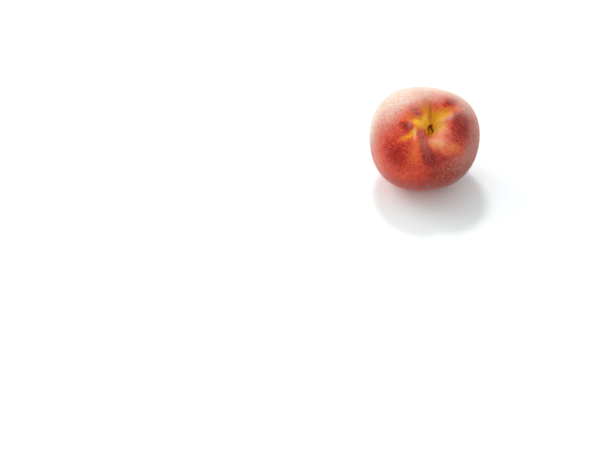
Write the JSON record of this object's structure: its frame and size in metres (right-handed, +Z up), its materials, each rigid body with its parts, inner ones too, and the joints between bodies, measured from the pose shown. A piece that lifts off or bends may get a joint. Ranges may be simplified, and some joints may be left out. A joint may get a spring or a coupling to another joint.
{
  "type": "peach",
  "caption": "Whole ripe peach with a stem hollow, a seam and a pointed blossom end, lying on a small flat resting spot.",
  "frame": {"origin": "on the surface the fruit lies on, under the middle of its box", "axes": "+Z up; -Y is the side that the stem hollow and the seam face; +X is the right-hand cheek seen from -Y"},
  "size_m": [0.0718, 0.0696, 0.0684],
  "materials": {
    "peach_skin": "matte"
  },
  "bodies": {
    "root": {"peach": "peach_skin"}
  },
  "joints": []
}
